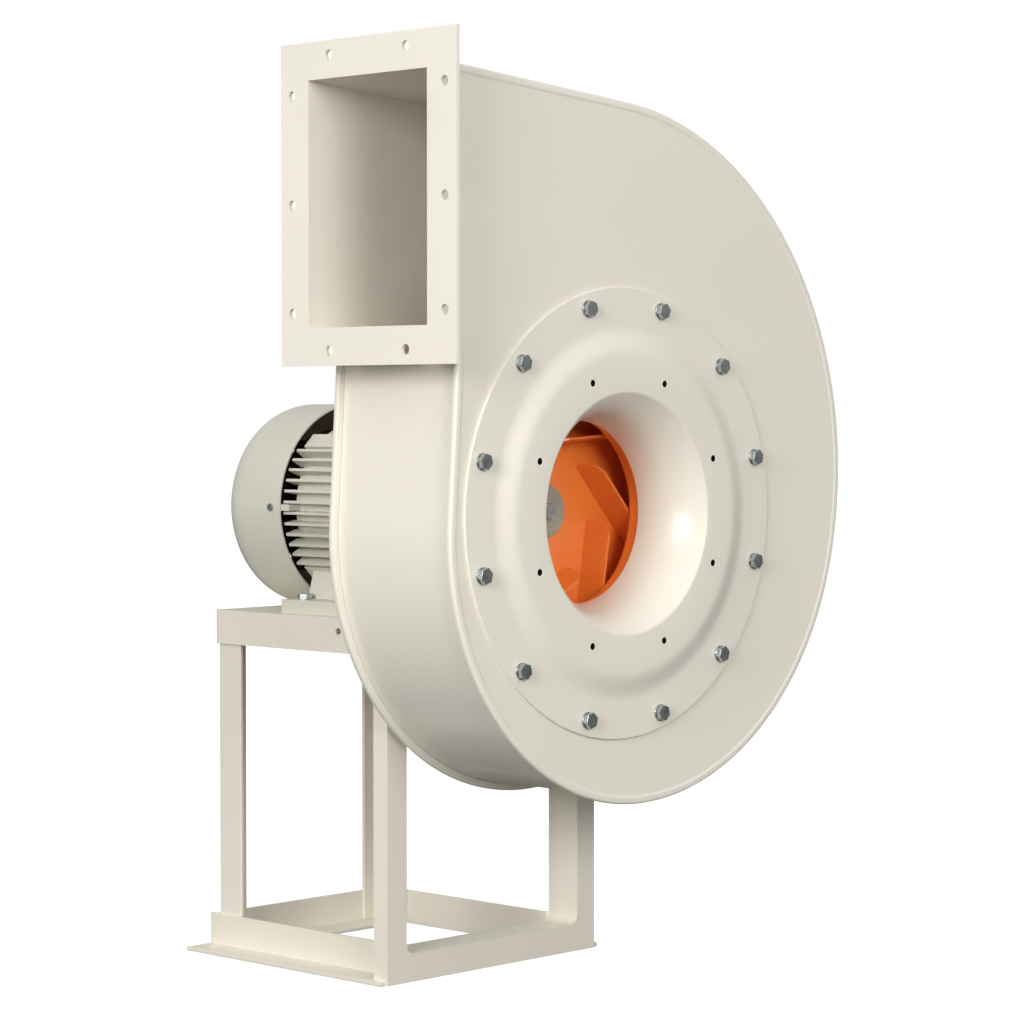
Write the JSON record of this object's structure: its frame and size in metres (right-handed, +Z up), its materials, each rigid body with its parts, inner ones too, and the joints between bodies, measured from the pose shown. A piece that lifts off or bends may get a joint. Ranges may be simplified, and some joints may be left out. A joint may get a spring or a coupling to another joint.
{
  "type": "industrial centrifugal blower",
  "caption": "Industrial centrifugal blower: a welded sheet-steel scroll on a stand, with a bolted inlet cover, a flanged outlet and an impeller on the shaft of a finned foot-mounted motor.",
  "frame": {"origin": "centre of the four floor bolt holes, on the floor", "axes": "+X right as seen from the inlet, +Y from the inlet to the motor along the shaft, +Z up"},
  "size_m": [0.7359, 0.6275, 1.1078],
  "materials": {
    "housing_paint": "cream enamel, smooth and glossy, on formed sheet steel",
    "stand_paint": "cream enamel, smooth, on folded steel sections",
    "zinc_steel": "bright zinc plate with a bluish tint",
    "motor_paint": "greenish-cream enamel over slightly rough cast metal",
    "impeller_paint": "orange enamel, smooth and semi-gloss",
    "machined_steel": "turned and lightly greased bare steel",
    "bearing_steel": "ground and polished bearing steel",
    "lamination_steel": "stacked electrical sheet, dark and matt",
    "copper": "varnished enamelled copper wire",
    "terminal_brass": "plain brass",
    "black_rubber": "matt black gasket rubber",
    "grey_felt": "dense grey wool felt",
    "board_plastic": "moulded brown thermoset",
    "black_plastic": "moulded black nylon"
  },
  "bodies": {
    "base": {"front_side_plate": "housing_paint", "rear_side_plate": "housing_paint", "scroll_band": "housing_paint", "cutoff_plate": "housing_paint", "outlet_flange": "housing_paint", "inlet_cover": "housing_paint", "inlet_nozzle": "housing_paint", "shaft_seal_plate": "housing_paint", "housing_disc": "housing_paint", "front_leg_left": "stand_paint", "front_leg_right": "stand_paint", "front_beam_lower": "stand_paint", "front_beam_upper": "stand_paint", "motor_bed": "stand_paint", "rear_leg_left": "stand_paint", "rear_leg_right": "stand_paint", "side_beam_left": "stand_paint", "side_beam_right": "stand_paint", "rear_beam": "stand_paint", "cover_bolts": "zinc_steel", "cover_washers": "zinc_steel", "cover_nuts": "zinc_steel", "seal_screws": "zinc_steel", "housing_bolts": "zinc_steel", "housing_nuts": "zinc_steel", "bed_bolts": "zinc_steel", "bed_nuts": "zinc_steel", "shield_screws": "zinc_steel", "foot_bolts": "zinc_steel", "foot_nuts": "zinc_steel", "cowl_screws": "zinc_steel", "terminal_lid_screws": "zinc_steel", "motor_frame": "motor_paint", "drive_end_shield": "motor_paint", "rear_end_shield": "motor_paint", "fan_cowl": "motor_paint", "terminal_box": "motor_paint", "terminal_lid": "motor_paint", "inlet_rivet_nuts": "machined_steel", "lifting_eye": "machined_steel", "bearing_outer_rings": "bearing_steel", "bearing_balls": "bearing_steel", "stator_core": "lamination_steel", "stator_windings": "copper", "terminal_studs": "terminal_brass", "terminal_gasket": "black_rubber", "shaft_felt": "grey_felt", "terminal_board": "board_plastic", "cable_gland": "black_plastic"},
    "rotor": {"impeller_back_plate": "impeller_paint", "impeller_shroud": "impeller_paint", "impeller_blades": "impeller_paint", "impeller_hub": "impeller_paint", "cooling_fan": "black_plastic", "hub_key": "machined_steel", "hub_washer": "machined_steel", "hub_bolt": "machined_steel", "motor_shaft": "machined_steel", "rotor_core": "lamination_steel", "bearing_inner_rings": "bearing_steel"}
  },
  "joints": [
    {"name": "impeller_spin", "type": "hinge", "parent": "base", "child": "rotor", "pos_m": [0, -0.26, 0.565], "axis": [0, -1, 0], "continuous": true}
  ]
}
